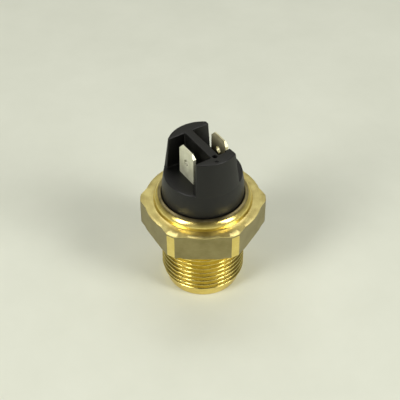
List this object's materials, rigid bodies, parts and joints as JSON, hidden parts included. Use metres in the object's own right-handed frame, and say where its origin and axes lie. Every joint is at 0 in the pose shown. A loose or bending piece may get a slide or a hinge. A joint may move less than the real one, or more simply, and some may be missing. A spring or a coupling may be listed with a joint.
{
  "type": "pressure switch",
  "caption": "Screw-in pressure switch: brass hexagon body with a metric male thread, black moulded terminal head held by a rolled lip, and two flat blade terminals.",
  "frame": {"origin": "centre of the stud's free end, at the bottom of the box", "axes": "+Z along the body's axis from the stud to the blade tips; one hexagon flat faces -Y; the blades' width lies 57 degrees clockwise of +X seen from above"},
  "size_m": [0.0322, 0.0302, 0.0444],
  "materials": {
    "brass": "turned free-machining brass, light machining marks",
    "seal_rubber": "moulded",
    "spring_steel": "rolled sheet",
    "plated_steel": "zinc plated, turned",
    "rod_ceramic": "glazed ceramic or thermoset rod",
    "laminate": "machined phenolic sheet",
    "black_plastic": "moulded, semi-gloss, fine grain",
    "tinned_brass": "stamped, tinned",
    "silver_tip": "silver rivet",
    "spring_bronze": "stamped strip",
    "sealing_resin": "cast resin"
  },
  "bodies": {
    "housing": {"brass_body": "brass", "terminal_head": "black_plastic", "terminal_a": "tinned_brass", "terminal_b": "tinned_brass", "fixed_contact_a": "silver_tip", "fixed_contact_b": "silver_tip", "guide_disc": "laminate", "clamp_ring": "plated_steel", "diaphragm": "spring_steel", "diaphragm_gasket": "seal_rubber", "inlet_restrictor": "brass", "head_seal": "seal_rubber", "terminal_seal_a": "sealing_resin", "terminal_seal_b": "sealing_resin", "range_spring": "spring_steel", "contact_spring": "spring_steel"},
    "plunger": {"pressure_plate": "plated_steel", "push_rod": "rod_ceramic", "contact_bridge": "spring_bronze", "moving_contact_a": "silver_tip", "moving_contact_b": "silver_tip", "retaining_clip": "spring_steel"},
    "spring_seat": {"thrust_washer": "plated_steel"},
    "adjuster": {"adjusting_ring": "brass"}
  },
  "joints": [
    {"name": "plunger_slide", "type": "slide", "parent": "housing", "child": "plunger", "axis": [0, 0, 1], "range_m": [0, 0.00074], "stiffness_N_per_m": 500, "springref_m": -0.002, "deforming": ["range_spring", "contact_spring", "diaphragm"]},
    {"name": "seat_slide", "type": "slide", "parent": "housing", "child": "spring_seat", "axis": [0, 0, 1], "range_m": [-0.0005, 0.0005]},
    {"name": "adjuster_turn", "type": "hinge", "parent": "spring_seat", "child": "adjuster", "pos_m": [0, 0, 0.0195], "axis": [0, 0, 1], "range_deg": [-180, 180]}
  ],
  "couplings": [
    {"joint": "adjuster_turn", "follows": "seat_slide", "rad_per_m": -6283.2}
  ]
}
